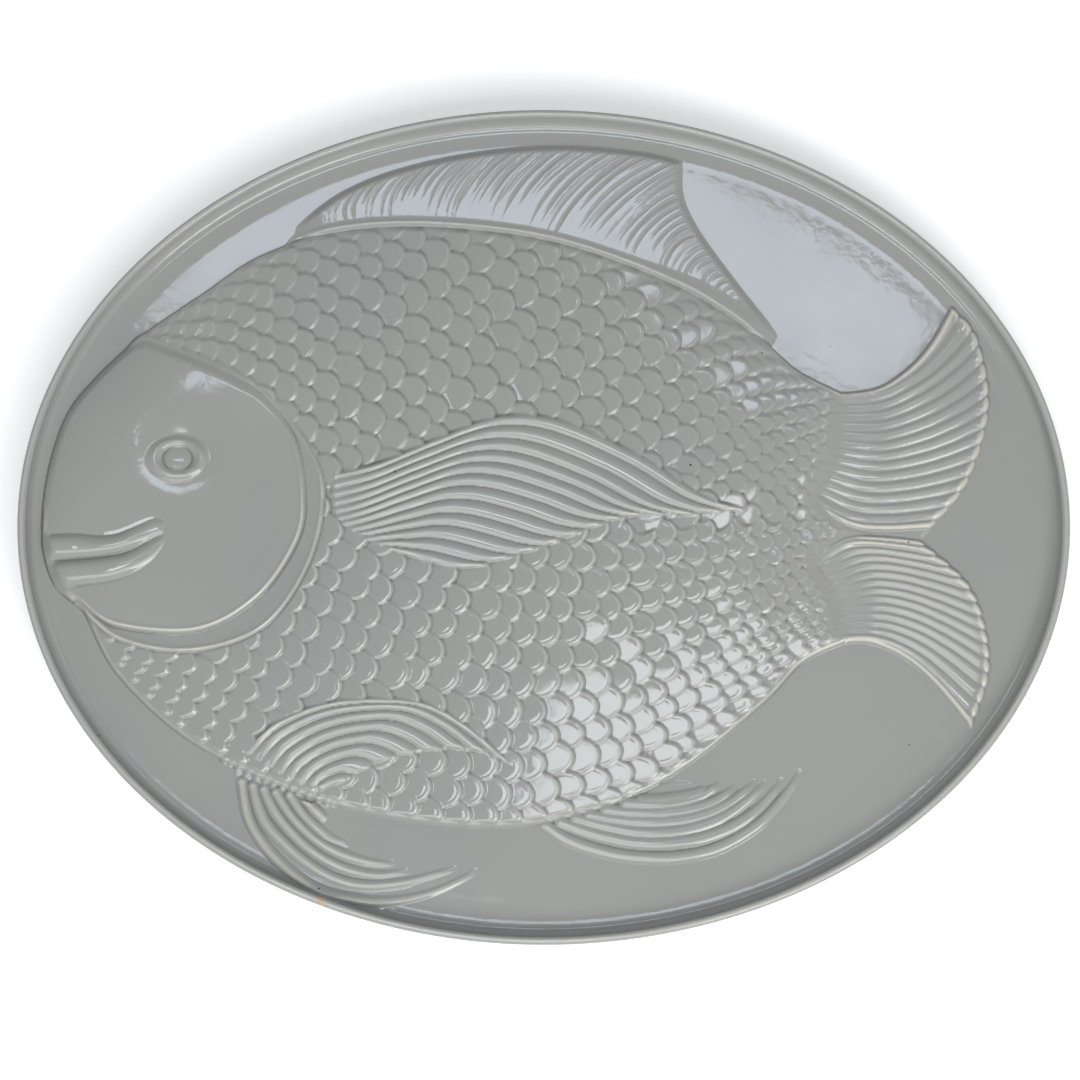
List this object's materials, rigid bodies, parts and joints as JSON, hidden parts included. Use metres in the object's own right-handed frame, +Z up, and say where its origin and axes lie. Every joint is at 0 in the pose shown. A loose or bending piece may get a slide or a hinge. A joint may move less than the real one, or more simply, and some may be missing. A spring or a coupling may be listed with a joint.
{
  "type": "fish relief serving platter",
  "caption": "Oval glazed ceramic serving platter with a raised lip, a large fish in low relief on its floor and a foot ring below.",
  "frame": {"origin": "centre of the foot ring's bottom face, on the table", "axes": "+X towards the fish's tail along the long axis, +Y towards the fish's back along the short axis, +Z up"},
  "size_m": [0.42, 0.336, 0.02],
  "materials": {
    "glaze": "gloss",
    "bare_clay": "matte"
  },
  "bodies": {
    "root": {"floor_slab": "glaze", "rim": "glaze", "foot_ring": "bare_clay", "fish_body": "glaze", "head": "glaze", "gill_cover": "glaze", "eye_ring": "glaze", "eye": "glaze", "upper_lip": "glaze", "lower_lip": "glaze", "dorsal_fin": "glaze", "pectoral_fin": "glaze", "pelvic_fin_near": "glaze", "pelvic_fin_far": "glaze", "anal_fin": "glaze", "tail_upper_lobe": "glaze", "tail_lower_lobe": "glaze"}
  },
  "joints": []
}
